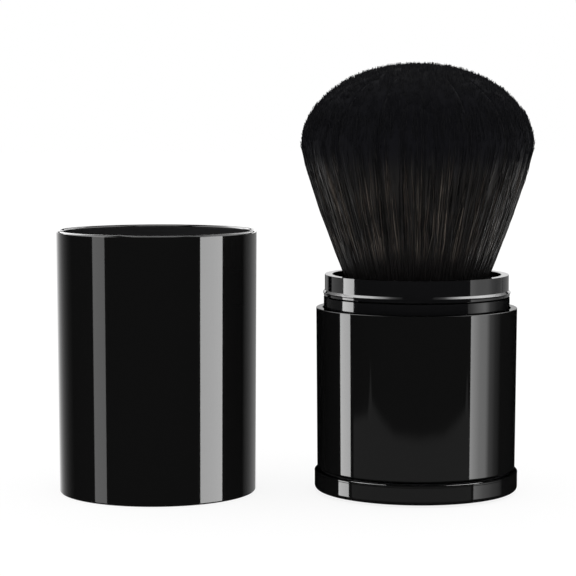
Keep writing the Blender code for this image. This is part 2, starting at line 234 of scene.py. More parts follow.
drift = addNode(tree, "ShaderNodeMath", {1: fibre["drift"], 2: -fibre["drift"] / 2}, {0: (patch, "Fac")},
                operation="MULTIPLY_ADD")
# Painted light: the tone is raised low down on the shafts
lowPaintedLight = addNode(tree, "ShaderNodeMapRange", {
    "From Min": fibre["lowFrom"], "From Max": fibre["lowTo"], "To Min": fibre["paintedLowLight"], "To Max": 0.0,
}, {"Value": (along, "Fac")})
mixed = addNode(tree, "ShaderNodeMath", links={0: (tone, "Fac"), 1: (drift, "Value")}, operation="ADD")
shade = addNode(tree, "ShaderNodeMath", links={0: (mixed, "Value"), 1: (lowPaintedLight, "Result")}, operation="ADD")
shaft = addNode(tree, "ShaderNodeValToRGB", links={"Fac": (shade, "Value")})
setRamp(shaft, fibre["shaft"])
high = addNode(tree, "ShaderNodeSeparateXYZ", links={"Vector": (place, "Object")})
many = addNode(tree, "ShaderNodeMath", {1: fibre["shuffle"]}, {0: (tone, "Fac")}, operation="MULTIPLY")
chance = addNode(tree, "ShaderNodeMath", links={0: (many, "Value")}, operation="FRACT")
shift = addNode(tree, "ShaderNodeMath", {1: fibre["ragged"] * mm, 2: -fibre["ragged"] / 2 * mm},
                {0: (chance, "Value")}, operation="MULTIPLY_ADD")
ragged = addNode(tree, "ShaderNodeMath", links={0: (high, "Z"), 1: (shift, "Value")}, operation="ADD")
fade = addNode(tree, "ShaderNodeMapRange", {
    "From Min": fibre["fadeFrom"] * mm, "From Max": fibre["fadeTo"] * mm,
}, {"Value": (ragged, "Value")}, interpolation_type="SMOOTHSTEP")
body = addNode(tree, "ShaderNodeMix", {"B": toLinear(fibre["tip"])},
               {"Factor": (fade, "Result"), "A": (shaft, "Color")}, data_type="RGBA")
# Painted shade: the fibres darken towards the root, where they leave the ferrule
rooted = addNode(tree, "ShaderNodeMapRange", {"From Min": fibre["rootFrom"], "From Max": fibre["rootTo"]},
                 {"Value": (along, "Fac")}, interpolation_type="SMOOTHSTEP")
whole = addNode(tree, "ShaderNodeMix", {"A": toLinear(fibre["root"])},
                {"Factor": (rooted, "Result"), "B": (body, "Result")}, data_type="RGBA")
gloss = addNode(tree, "ShaderNodeMix", {"A": fibre["shaftGloss"], "B": fibre["tipGloss"]},
                {"Factor": (fade, "Result")})
# Painted highlight: more sheen towards the top of the dome
paintedTopSheen = addNode(tree, "ShaderNodeMapRange", {
    "From Min": fibre["sheenFrom"] * mm, "From Max": fibre["sheenTo"] * mm,
    "To Min": fibre["sideSheen"], "To Max": fibre["topSheen"],
}, {"Value": (high, "Z")})
velvet = addNode(tree, "ShaderNodeMath", links={0: (fade, "Result"), 1: (paintedTopSheen, "Result")},
                 operation="MULTIPLY")
tree.links.new(whole.outputs["Result"], shader.inputs["Base Color"])
tree.links.new(gloss.outputs["Result"], shader.inputs["Specular IOR Level"])
tree.links.new(velvet.outputs["Value"], shader.inputs["Sheen Weight"])

# Black anodised aluminium, turned: satin metal with fine lathe lines, drawn coarser than real so they show
waveBands = 3.15  # about how many bands a metre a wave texture shows at scale 1
anodised = {"colour": "#1b1b1d", "roughness": 0.32, "line": 0.24, "lineDepth": 3}
blackAnodised, tree, shader, place = newFinish(
    "turnedBlackAnodised", Base_Color=toLinear(anodised["colour"]), Metallic=0.85,
    Roughness=anodised["roughness"])
lathe = addNode(tree, "ShaderNodeTexWave", {
    "Scale": perMetre(anodised["line"]) / waveBands, "Distortion": 0.6, "Detail": 2.0,
}, {"Vector": (place, "Object")}, bands_direction="Z")
bump = addNode(tree, "ShaderNodeBump", {"Strength": 0.5, "Distance": anodised["lineDepth"] * micron},
               {"Height": (lathe, "Fac")})
tree.links.new(bump.outputs["Normal"], shader.inputs["Normal"])

# Acetal from a mould: milky white, waxy
acetalLook = {"roughness": 0.38, "cloud": 1.5, "colours": [(0.3, "#d9d8d2"), (0.7, "#e4e3de")]}
acetal, tree, shader, place = newFinish("mouldedAcetal", Roughness=acetalLook["roughness"], IOR=1.48)
cloud = addNode(tree, "ShaderNodeTexNoise", {"Scale": perMetre(acetalLook["cloud"]), "Detail": 3.0},
                {"Vector": (place, "Object")})
milky = addNode(tree, "ShaderNodeValToRGB", links={"Fac": (cloud, "Fac")})
setRamp(milky, acetalLook["colours"])
tree.links.new(milky.outputs["Color"], shader.inputs["Base Color"])

# Epoxy, cast: clear amber with a hint of cloud
epoxyLook = {"roughness": 0.12, "cloud": 2.5, "colours": [(0.3, "#7a5423"), (0.7, "#93692f")]}
epoxy, tree, shader, place = newFinish("castAmberEpoxy", Roughness=epoxyLook["roughness"], IOR=1.55)
cloud = addNode(tree, "ShaderNodeTexNoise", {"Scale": perMetre(epoxyLook["cloud"]), "Detail": 3.0},
                {"Vector": (place, "Object")})
amber = addNode(tree, "ShaderNodeValToRGB", links={"Fac": (cloud, "Fac")})
setRamp(amber, epoxyLook["colours"])
tree.links.new(amber.outputs["Color"], shader.inputs["Base Color"])

# Silicone from a mould: soft, matt and slightly dusty
siliconeLook = {"roughness": 0.6, "dust": 0.6, "colours": [(0.35, "#2a2a2c"), (0.75, "#38383a")]}
silicone, tree, shader, place = newFinish("mouldedSilicone", Roughness=siliconeLook["roughness"], IOR=1.41)
dust = addNode(tree, "ShaderNodeTexNoise", {"Scale": perMetre(siliconeLook["dust"]), "Detail": 4.0},
               {"Vector": (place, "Object")})
dusty = addNode(tree, "ShaderNodeValToRGB", links={"Fac": (dust, "Fac")})
setRamp(dusty, siliconeLook["colours"])
tree.links.new(dusty.outputs["Color"], shader.inputs["Base Color"])

# EVA rubber sheet, die cut: matt, with an open pebble grain
rubberLook = {"colour": "#1f1f1f", "roughness": 0.8, "pebble": 0.5, "pebbleDepth": 40}
rubber, tree, shader, place = newFinish(
    "dieCutRubber", Base_Color=toLinear(rubberLook["colour"]), Roughness=rubberLook["roughness"], IOR=1.5)
pebble = addNode(tree, "ShaderNodeTexVoronoi", {"Scale": perMetre(rubberLook["pebble"])},
                 {"Vector": (place, "Object")})
bump = addNode(tree, "ShaderNodeBump", {"Strength": 0.8, "Distance": rubberLook["pebbleDepth"] * micron},
               {"Height": (pebble, "Distance")})
tree.links.new(bump.outputs["Normal"], shader.inputs["Normal"])

# Steel, rough turned and left plain: grey with cut rings
steelLook = {"colour": "#8d8d90", "roughness": 0.38, "ring": 0.4, "ringDepth": 5}
plainSteel, tree, shader, place = newFinish(
    "turnedPlainSteel", Base_Color=toLinear(steelLook["colour"]), Metallic=1.0,
    Roughness=steelLook["roughness"])
rings = addNode(tree, "ShaderNodeTexWave", {
    "Scale": perMetre(steelLook["ring"]) / waveBands, "Distortion": 0.4,
}, {"Vector": (place, "Object")}, wave_type="RINGS", rings_direction="Z")
bump = addNode(tree, "ShaderNodeBump", {"Strength": 0.5, "Distance": steelLook["ringDepth"] * micron},
               {"Height": (rings, "Fac")})
tree.links.new(bump.outputs["Normal"], shader.inputs["Normal"])

# Zinc plated steel: bright, a little blue, with faint spangle
zincLook = {"roughness": 0.28, "spangle": 0.6, "colours": [(0.1, "#b9bcc4"), (0.7, "#c9ccd2")]}
zincSteel, tree, shader, place = newFinish("zincPlatedSteel", Metallic=1.0, Roughness=zincLook["roughness"])
spangle = addNode(tree, "ShaderNodeTexVoronoi", {"Scale": perMetre(zincLook["spangle"])},
                  {"Vector": (place, "Object")})
zinc = addNode(tree, "ShaderNodeValToRGB", links={"Fac": (spangle, "Distance")})
setRamp(zinc, zincLook["colours"])
tree.links.new(zinc.outputs["Color"], shader.inputs["Base Color"])
print("finishes made")


# Cap: a lacquered shell with its closed end down, its rim rolled in over the liner, which stops just below it
capFoot, capTop, capRadius = nodeMm("cap_shell")
linerFoot, linerTop, linerRadius = nodeMm("cap_liner")
cap = {
    "draft": 0.3, "wall": 0.35, "floor": 0.8, "footEdge": 0.3,
    "roll": 1.0, "rollEdge": 0.42, "rollInside": 0.5, "rollUnder": 0.05, "rollGap": 0.05,
    "linerWall": 0.6, "linerFloor": 0.8, "linerEdge": 0.12, "linerInside": 0.4,
}
capBore, rollBore = capRadius - cap["wall"], capRadius - cap["roll"]
underRoll = linerTop + cap["rollGap"]
capShell = turnShell("capShell", [
    (0, capFoot, 0), (capRadius - cap["draft"], capFoot, cap["footEdge"]),
    (capRadius, capTop, cap["rollEdge"]), (rollBore, capTop, cap["rollInside"]),
    (rollBore, underRoll, cap["rollUnder"]), (capBore, underRoll, 0),
    (capBore - cap["draft"], capFoot + cap["floor"], 0), (0, capFoot + cap["floor"], 0),
], "cap", lacquerBlack, capX, closed=False, node="cap_shell")
linerBore, linerInner = linerRadius - cap["linerWall"], linerFoot + cap["linerFloor"]
capLiner = turnShell("capLiner", [
    (0, linerFoot, 0), (linerRadius - cap["draft"], linerFoot, 0),
    (linerRadius, linerTop, cap["linerEdge"]), (linerBore, linerTop, cap["linerEdge"]),
    (linerBore - cap["draft"], linerInner, cap["linerInside"]), (0, linerInner, 0),
], "cap", absMatte, capX, closed=False, node="cap_liner")
print("cap made")


# Barrel, neck, collar and stop ring of the sliding sleeve
barrelFoot, barrelTop, barrelRadius = nodeMm("barrel_shell")
barrel = {"bore": 18.75, "draft": 0.25, "shoulderEdge": 0.12, "footEdge": 0.4, "boreEdge": 0.05}
barrelShell = turnShell("barrelShell", [
    (barrel["bore"], barrelFoot, 0), (barrelRadius - barrel["draft"], barrelFoot, barrel["footEdge"]),
    (barrelRadius, barrelTop, barrel["shoulderEdge"]), (barrel["bore"], barrelTop, barrel["boreEdge"]),
], "sleeve", lacquerBlack, node="barrel_shell")

neckFoot, neckTop, neckRadius = nodeMm("barrel_liner")
liner = {
    "bore": 16.8, "counterbore": 17.6, "stopSeat": 2.3, "collarSeat": 2.0, "footEdge": 0.05, "topEdge": 0.03,
}
barrelLiner = turnShell("barrelLiner", [
    (liner["counterbore"], neckFoot, 0),
    (neckRadius, neckFoot, liner["footEdge"]), (neckRadius, neckTop, liner["topEdge"]),
    (liner["counterbore"], neckTop, 0), (liner["counterbore"], neckTop - liner["collarSeat"], 0),
    (liner["bore"], neckTop - liner["collarSeat"], 0), (liner["bore"], neckFoot + liner["stopSeat"], 0),
    (liner["counterbore"], neckFoot + liner["stopSeat"], 0),
], "sleeve", absGloss, node="barrel_liner")

collarFoot, collarTop, beadRadius = nodeMm("neck_collar")
collar = {
    "bore": 16.8, "spigot": 17.3, "spigotLength": 2.0, "spigotEdge": 0.05, "seamEdge": 0.02,
    "beadRise": 0.15, "beadLead": 0.4, "beadHeight": 0.7, "beadChamfer": 0.4, "beadEdge": 0.04,
    "crestEdge": 0.1, "mouthStep": 0.2, "mouthEdge": 0.05,
}
lowNeck = beadRadius - collar["beadRise"]
mouth = lowNeck - collar["mouthStep"]
base = collarFoot + collar["spigotLength"]
beadLow, beadHigh = base + collar["beadLead"], base + collar["beadLead"] + collar["beadHeight"]
neckCollar = turnShell("neckCollar", [
    (collar["bore"], collarFoot, 0), (collar["spigot"], collarFoot, collar["spigotEdge"]),
    (collar["spigot"], base, 0), (lowNeck, base, collar["seamEdge"]), (lowNeck, beadLow, collar["beadEdge"]),
    (beadRadius, beadLow + collar["beadRise"], collar["beadEdge"]),
    (beadRadius, beadHigh - collar["beadChamfer"], collar["crestEdge"]),
    (mouth, beadHigh, collar["beadEdge"]), (mouth, collarTop, 0),
    (collar["bore"], collarTop, collar["mouthEdge"]),
], "sleeve", absGloss, node="neck_collar")

stopFoot, stopTop, stopRadius = nodeMm("stop_ring")
stop = {"bore": 15.8, "edge": 0.15}
stopRing = turnShell("stopRing", [
    (stop["bore"], stopFoot, stop["edge"]), (stopRadius, stopFoot, stop["edge"]), (stopRadius, stopTop, 0),
    (stop["bore"], stopTop, stop["edge"]),
], "sleeve", acetal, steps=128, node="stop_ring")
print("sleeve made")


# Base ring, a gloss skirt with a fine bead round its top edge, and the core that stands on it
ringFoot, ringTop, ringRadius = nodeMm("base_ring")
ring = {
    "wall": 1.2, "topEdge": 0.3, "topFall": 0.15, "boreEdge": 0.05,
    "lip": 0.6, "lipWidth": 3.4, "lipEdge": 0.1, "footEdge": 0.8, "skirtEdge": 0.08,
    "bead": 0.5, "beadProud": 0.02, "beadEdge": 0.06, "groove": 0.06, "grooveDepth": 0.04,
}
side, under = ringRadius - ring["beadProud"], ringTop - ring["bead"]
ringBore, lipBore = ringRadius - ring["wall"], ringRadius - ring["lipWidth"]
baseRing = turnShell("baseRing", [
    (lipBore, ringFoot, ring["lipEdge"]), (side, ringFoot, ring["footEdge"]),
    (side, under - ring["groove"], ring["skirtEdge"]),
    (side - ring["grooveDepth"], under - ring["groove"] / 2, 0), (ringRadius, under, ring["beadEdge"]),
    (ringRadius, ringTop, ring["topEdge"]), (ringBore, ringTop - ring["topFall"], ring["boreEdge"]),
    (ringBore, ringFoot + ring["lip"], 0), (lipBore, ringFoot + ring["lip"], 0),
], "brush", lacquerBlack, node="base_ring")

coreFoot, coreTop, flangeRadius = nodeMm("core_tube")
core = {
    "flange": 1.0, "flangeEdge": 0.2, "radius": 15.5, "bore": 13.4, "topEdge": 0.3, "rootEdge": 0.4,
    "web": 5.7, "webThick": 1.4, "webEdge": 0.3, "boss": 3.4, "bossEdge": 0.2, "hole": 1.7, "holeTop": 4.9,
}
flangeTop, holeTop, webFoot = coreFoot + core["flange"], coreFoot + core["holeTop"], coreFoot + core["web"]
webTop = webFoot + core["webThick"]
coreTube = turnShell("coreTube", [
    (0, holeTop, 0), (core["hole"], holeTop, 0), (core["hole"], coreFoot, 0),
    (core["boss"], coreFoot, core["bossEdge"]), (core["boss"], webFoot, core["webEdge"]),
    (core["bore"], webFoot, core["webEdge"]), (core["bore"], coreFoot, 0),
    (flangeRadius, coreFoot, 0), (flangeRadius, flangeTop, core["flangeEdge"]),
    (core["radius"], flangeTop, core["rootEdge"]), (core["radius"], coreTop, core["topEdge"]),
    (core["bore"], coreTop, 0), (core["bore"], webTop, core["rootEdge"]), (0, webTop, 0),
], "brush", absMatte, closed=False, steps=160, node="core_tube")

cupFoot, cupTop, cupRadius = nodeMm("ferrule")
cup = {"wall": 1.2, "floor": 1.0, "edge": 0.4, "boreEdge": 0.1}
cupBore = cupRadius - cup["wall"]
ferruleCup = turnShell("ferruleCup", [
    (0, cupFoot, 0), (cupRadius, cupFoot, cup["edge"]), (cupRadius, cupTop, cup["edge"]),
    (cupBore, cupTop, cup["boreEdge"]), (cupBore, cupFoot + cup["floor"], 0), (0, cupFoot + cup["floor"], 0),
], "brush", blackAnodised, closed=False, steps=192, node="ferrule")

packedPieces = {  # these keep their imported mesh
    "foot_pad": rubber, "base_plate": absMatte, "base_screw": zincSteel, "base_weight": plainSteel,
    "carrier_head": absMatte, "friction_ring_lower": silicone, "friction_ring_upper": silicone,
    "resin_plug": epoxy,
}
for name, material in packedPieces.items():
    for holder in nodes[name].material_slots:
        holder.material = material
print("base and core made")


# Hair: tapered fibres, gathered into small tufts, that fan out of the ferrule in a bow and end on a dome
hair = {
    "fibres": 24000, "seed": 7,
    "thick": 0.17, "tipThick": 0.1, "taperFrom": 0.6,  # about twice as thick as a real fibre, to show
    "rootRadius": 14.5, "bottom": 40.9, "mouth": 43.2,  # in the ferrule, and the height where they leave it
    "spread": 23.3, "bow": 1.14, "round": 0.25, "roundHeight": 1.8, "domeFrom": 68.0, "domePower": 2.1,
    "scatter": 0.006, "tufts": 2600, "tuftScatter": 0.004, "tuftTurn": 0.7, "tuftPull": 0.35, "lean": 0.03,
    "stray": 0.014, "wild": 0.08, "wildStray": 4,  # how far a fibre strays, and the share that strays further
    "widest": 0.98,  # share of the fibres that lie inside the outline before the rest are pulled in
    "rows": (0, 0.15, 0.32, 0.5, 0.68, 0.85, 1.0),  # points along a fibre
    "pullPower": 1.5,  # how late it bends towards its tuft
    "wave": 0.35, "waveTurns": 6, "waveStart": 3, "waveFall": 0.6,  # sways near the root, less at the tip
    "uneven": 0.15, "below": (0.2, 0.5), "proud": 0.1,  # tips stop under the dome, a proud few make the fuzz
    "outer": 0.9, "over": 5.0, "overShare": (-0.4, 1),  # the outer ones end raggedly round the dome's foot
    "early": 0.04, "earlyBy": (1, 6),  # and a few end early
    "skin": 0.1, "loose": 0.02,  # room round the dome, and how unevenly the fibres fill the outline
    "tuftTone": 0.4, "contrast": 1.15,  # share of a fibre's tone that it has from its tuft
    "sectors": 16, "keep": 0.7,  # pieces round the axis, each one squashed inwards
    "massFoot": 1, "massInset": 0.4, "massSink": 0.95, "massGroove": 0.1, "massTone": (0.3, 0.6),
    "massColumns": 15, "massRows": 14, "massDomeRows": 16,
}


def sunflower(count, turn, scatter, rng):
    # Even spread over a disc of radius 1, each point turned by the golden angle from the one before
    order = np.arange(count)
    out, angle = np.sqrt((order + 0.5) / count), order * math.pi * (3 - math.sqrt(5)) + turn
    return np.stack([out * np.cos(angle), out * np.sin(angle)], 1) + rng.normal(0, scatter, (count, 2))


def spreadAt(height):
    # Radius of the whole head at a height, still widening above the dome's foot for the fibres inside it
    rise = (height - hair["mouth"]) / (hair["domeFrom"] - hair["mouth"])
    widen = hair["spread"] / hair["rootRadius"] - 1
    corner = hair["round"] * np.exp(-((height - hair["domeFrom"]) / hair["roundHeight"]) ** 2)
    return hair["rootRadius"] * (1 + widen * (hair["bow"] * rise - (hair["bow"] - 1) * rise ** 2)) - corner


def domeAt(height):
    rise = np.clip((height - hair["domeFrom"]) / domeHeight, 0, 1)
    return hair["spread"] * (1 - rise ** hair["domePower"]) ** (1 / hair["domePower"])


def hairPaths():
    rng = np.random.default_rng(hair["seed"])
    count = hair["fibres"]
    start = sunflower(count, 0, hair["scatter"], rng)
    start /= np.maximum(np.linalg.norm(start, axis=1, keepdims=True), 1)  # none starts outside the ferrule
    tuft = sunflower(hair["tufts"], hair["tuftTurn"], hair["tuftScatter"], rng)
    nearest = np.concatenate([  # a thousand at a time, to spare memory
        ((start[first:first + 1000, None, :] - tuft[None]) ** 2).sum(2).argmin(1)
        for first in range(0, count, 1000)])
    leaning = tuft + rng.normal(0, hair["lean"], tuft.shape) / hair["tuftPull"]
    astray = np.where(rng.random((count, 1)) < hair["wild"], hair["wildStray"], 1) * hair["stray"]
    pulled = start + (leaning[nearest] - start) * hair["tuftPull"] + rng.normal(0, 1, start.shape) * astray
    pulled /= np.quantile(np.linalg.norm(pulled, axis=1), hair["widest"])
    pulled /= np.maximum(np.linalg.norm(pulled, axis=1, keepdims=True), 1)
    out = np.linalg.norm(pulled, axis=1)
    tip = np.full(count, hair["domeFrom"])
    for _ in range(30):  # closes in on where each fibre, fanning out, meets the dome
        inDome = np.minimum(out * spreadAt(tip) / hair["spread"], 1)
        dome = domeHeight * (1 - inDome ** hair["domePower"]) ** (1 / hair["domePower"])
        tip = (tip + hair["domeFrom"] + dome) / 2
    proud = rng.random(count) < hair["proud"]
    lower = rng.uniform(0, hair["uneven"], hair["tufts"])[nearest]
    tip -= lower + np.where(proud, 0, rng.uniform(*hair["below"], count))
    tip += np.where(out > hair["outer"], rng.uniform(*hair["overShare"], count), 0) * hair["over"]
    tip -= np.where(rng.random(count) < hair["early"], rng.uniform(*hair["earlyBy"], count), 0)
    tip = np.minimum(tip, hair["domeFrom"] + domeHeight - hair["skin"])
    wave = rng.normal(0, hair["wave"], (count, 2))
    phase = rng.uniform(0, 2 * math.pi, count)
    steps = np.array(hair["rows"])
    path = np.empty((count, len(steps) + 1, 3))
    path[:, 0, :2], path[:, 0, 2] = start * hair["rootRadius"], hair["bottom"]
    for k, t in enumerate(steps):
        height = hair["mouth"] + (tip - hair["mouth"]) * t
        radius = spreadAt(height)[:, None]
        here = start + (pulled - start) * t ** hair["pullPower"]
        swing = (np.sin(phase + hair["waveTurns"] * t) - np.sin(phase))[:, None]
        sway = wave * swing * min(1, hair["waveStart"] * t) * (1 - hair["waveFall"] * t)
        spot = here * radius + sway
        far = np.linalg.norm(spot, axis=1, keepdims=True)
        edge = np.minimum(radius, domeAt(height)[:, None] + hair["skin"])
        edge = edge * (1 - hair["loose"] * rng.random((count, 1)))
        path[:, k + 1, :2] = spot * np.minimum(1, edge / np.maximum(far, 1e-6))
        path[:, k + 1, 2] = height
    along = np.concatenate([[0], steps])
    tone = hair["tuftTone"] * rng.random(hair["tufts"])[nearest] + (1 - hair["tuftTone"]) * rng.random(count)
    twist = rng.uniform(0, 2 * math.pi, count)
    return path, along, (tone - 0.5) * hair["contrast"] + 0.5, twist


def hairMass(part, rng):
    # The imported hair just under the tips, one closed wedge of it: it fills the gaps between the outer fibres
    lift = np.sin(np.linspace(0, math.pi / 2, hair["massDomeRows"])[1:-1]) ** (2 / hair["domePower"])
    heights = np.concatenate([
        np.linspace(hair["mouth"] - hair["massFoot"], hair["domeFrom"], hair["massRows"]),
        hair["domeFrom"] + domeHeight * lift])
    radii = np.minimum(spreadAt(heights), domeAt(heights)) - hair["massInset"]
    shares = (part + np.arange(hair["massColumns"] + 1) / hair["massColumns"]) / hair["sectors"]
    turns = (shares - 0.5) * 2 * math.pi
    flat = np.sqrt(1 - np.minimum(radii / hair["spread"], 1) ** 2)
    sunk = heights - hair["massSink"] * flat * (heights > hair["domeFrom"])
    rows, columns = len(heights), len(turns)
    dip = np.zeros((columns, 1))
    dip[[0, -1]] = hair["massGroove"]  # the wedge's edges lie deeper, under the fibres
    spots = np.stack([
        np.cos(turns)[:, None] * (radii - dip), np.sin(turns)[:, None] * (radii - dip), sunk - dip,
    ], 2).reshape(-1, 3)
    middle = np.stack([0 * sunk, 0 * sunk, sunk], 1)
    peak = [[0, 0, hair["domeFrom"] + domeHeight - hair["massSink"]]]
    axis, top = rows * columns, rows * (columns + 1)
    faces = [(c * rows + r, (c + 1) * rows + r, (c + 1) * rows + r + 1, c * rows + r + 1)
             for c in range(columns - 1) for r in range(rows - 1)]
    faces += [((c + 1) * rows - 1, (c + 2) * rows - 1, top) for c in range(columns - 1)]
    skin = len(faces)
    faces += [(axis, (c + 1) * rows, c * rows) for c in range(columns - 1)]
    last = (columns - 1) * rows
    faces += [(axis + r, r, r + 1, axis + r + 1) for r in range(rows - 1)]
    faces += [(axis + rows - 1, rows - 1, top)]
    faces += [(last + r, axis + r, axis + r + 1, last + r + 1) for r in range(rows - 1)]
    faces += [(last + rows - 1, axis + rows - 1, top)]
    longest = 1.1  # on the dome, past the height where the outer fibres end
    along = np.clip((heights - hair["mouth"]) / (hair["domeFrom"] - hair["mouth"]), 0, longest)
    tone = rng.uniform(*hair["massTone"], columns + 1)
    return (np.concatenate([spots, middle, peak]) * mm, faces, len(faces) - skin,
            np.append(np.tile(along, columns + 1), longest),
            np.append(np.repeat(tone, rows), sum(hair["massTone"]) / 2))


def growHair():
    path, along, tone, twist = hairPaths()
    count, rows = path.shape[:2]
    sides = 3
    corner = np.arange(sides) * 2 * math.pi / sides
    thick = np.interp(along, [0, hair["taperFrom"], 1], [hair["thick"], hair["thick"], hair["tipThick"]]) / 2
    around = twist[:, None, None] + corner[None, None, :]
    spots = np.repeat(path[:, :, None, :], sides, 2)
    spots[..., 0] += np.cos(around) * thick[None, :, None]
    spots[..., 1] += np.sin(around) * thick[None, :, None]
    spots *= mm
    wall = []
    for row in range(rows - 1):
        for side in range(sides):
            a, b = row * sides + side, row * sides + (side + 1) % sides
            wall.append((a, b, b + sides, a + sides))
    wall = np.array(wall)
    ends = path[:, -1]
    turned = np.arctan2(ends[:, 1], ends[:, 0]) / (2 * math.pi) + 0.5
    sector = np.floor(turned * hair["sectors"]).astype(int) % hair["sectors"]
    rng = np.random.default_rng(hair["seed"] + 1)
    made = []
    for part in range(hair["sectors"]):
        mine = np.nonzero(sector == part)[0]
        points = spots[mine].reshape(-1, 3)
        first = np.arange(len(mine)) * rows * sides
        quads = (wall[None] + first[:, None, None]).reshape(-1, 4)
        tips = (rows - 1) * sides + first[:, None] + np.arange(sides)[None]
        mesh = bpy.data.meshes.new("hair%02d" % part)
        massSpots, massCells, inner, massAlong, massTone = hairMass(part, rng)
        massCells = [[corner + len(points) for corner in cell] for cell in massCells]
        cells = quads.tolist() + tips.tolist() + massCells
        mesh.from_pydata(np.concatenate([points, massSpots]).tolist(), [], cells)
        # the wedge's inner walls stay flat, so that hardly any seam shows on its skin
        mesh.polygons.foreach_set("use_smooth", np.arange(len(cells)) < len(cells) - inner)
        values = {
            "along": np.concatenate([np.repeat(np.tile(along, len(mine)), sides), massAlong]),
            "tone": np.concatenate([np.repeat(tone[mine], rows * sides), massTone]),
        }
        for name, value in values.items():
            mesh.attributes.new(name, "FLOAT", "POINT").data.foreach_set("value", value.astype(np.float32))
        mesh.materials.append(dyedFibre)
        piece = bpy.data.objects.new("hair%02d" % part, mesh)
        bpy.context.scene.collection.objects.link(piece)
        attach(piece, "brush")
        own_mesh(piece)
        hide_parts("bristles")
        made.append(piece)
    return made


domeHeight = nodeMm("bristles")[1] - hair["domeFrom"]
hairPieces = growHair()
print("hair grown,", hair["fibres"], "fibres")


# Camera: square on, midway between cap and brush, level with the dome of the hair and tilted down
view = {"x": -25.65 * mm, "y": -425 * mm, "z": 77 * mm, "tilt": 4.9, "lens": 133.6, "sensor": 36}
cameraData = bpy.data.cameras.new("photoCamera")
cameraData.lens, cameraData.sensor_width = view["lens"], view["sensor"]
cameraData.clip_start, cameraData.clip_end = 0.01, 20
camera = bpy.data.objects.new("photoCamera", cameraData)
camera.location = (view["x"], view["y"], view["z"])
camera.rotation_euler = (math.radians(90 - view["tilt"]), 0, 0)
bpy.context.scene.collection.objects.link(camera)
bpy.context.scene.camera = camera
bpy.context.scene.view_settings.view_transform = "Standard"

# Room: white to the camera and to soft light, and dark in a reflection, where the lamps stand in for it
room = {"white": 1.0, "inGloss": 0.0}
world = bpy.data.worlds.new("studio")
bpy.context.scene.world = world
world.use_nodes = True
world.cycles.sampling_method = "NONE"
tree = world.node_tree
rays = addNode(tree, "ShaderNodeLightPath")
strength = addNode(tree, "ShaderNodeMix", {"A": room["white"], "B": room["inGloss"]},
                   {"Factor": (rays, "Is Glossy Ray")})
tree.links.new(strength.outputs["Result"], tree.nodes["Background"].inputs["Strength"])
tree.nodes["Background"].inputs["Color"].default_value = toGrey(1)

# Floor: plain pale card. A shadow can take away no more than its shade, and it doesn't show in a reflection.
floorLook = {"size": 6.0, "shade": 0.18, "white": 1.03, "drop": 0.1 * mm}
floorMesh = bpy.data.meshes.new("floor")
h = floorLook["size"] / 2
floorMesh.from_pydata([(-h, -h, 0), (h, -h, 0), (h, h, 0), (-h, h, 0)], [], [(0, 1, 2, 3)])
floor = bpy.data.objects.new("floor", floorMesh)
floor.location.z = -floorLook["drop"]
bpy.context.scene.collection.objects.link(floor)
floor.visible_glossy = False
floor.visible_shadow = False
card = bpy.data.materials.new("paleCard")
card.use_nodes = True
tree = card.node_tree
tree.nodes.remove(tree.nodes["Principled BSDF"])
soft = addNode(tree, "ShaderNodeBsdfDiffuse", {"Color": toGrey(floorLook["shade"])})
glow = addNode(tree, "ShaderNodeEmission", {
    "Color": toGrey(1), "Strength": floorLook["white"] - floorLook["shade"],
})
both = addNode(tree, "ShaderNodeAddShader", links={0: (soft, "BSDF"), 1: (glow, "Emission")})
tree.links.new(both.outputs["Shader"], tree.nodes["Material Output"].inputs["Surface"])
floorMesh.materials.append(card)


# Lamps, each one lighting only the pieces it is set for. Azimuth 0 is towards the camera, + to the right.
# Cap and brush have a set each, and neither stands in the way of the other's.

def pieceSet(name, pieces):
    made = bpy.data.collections.new(name)
    for piece in pieces:
        made.objects.link(piece)
    return made


capSet = pieceSet("capSet", [capShell, capLiner])
brushSet = pieceSet("brushSet", [
    barrelShell, barrelLiner, neckCollar, baseRing, ferruleCup, stopRing, coreTube] + hairPieces)
glossOf = {
    "cap": pieceSet("capGloss", [capShell]),
    "inside": pieceSet("capInsideLit", [capLiner]),
    "barrel": pieceSet("barrelGloss", [barrelShell]),
    "neck": pieceSet("neckGloss", [barrelLiner, neckCollar]),
    "liner": pieceSet("linerGloss", [barrelLiner]),
    "collar": pieceSet("collarGloss", [neckCollar]),
    "ring": pieceSet("ringGloss", [baseRing, coreTube, stopRing]),
    "body": pieceSet("bodyGloss", [barrelShell, baseRing, coreTube, stopRing]),
    "hair": pieceSet("hairGloss", hairPieces),
}
unmirrored = [capShell, barrelShell, barrelLiner, neckCollar, baseRing, stopRing, coreTube]
# Cap and brush were photographed apart, so neither shows in the other's gloss
for piece in unmirrored + [nodes[name] for name in packedPieces]:
    piece.visible_glossy = False

lampDistance = 0.7


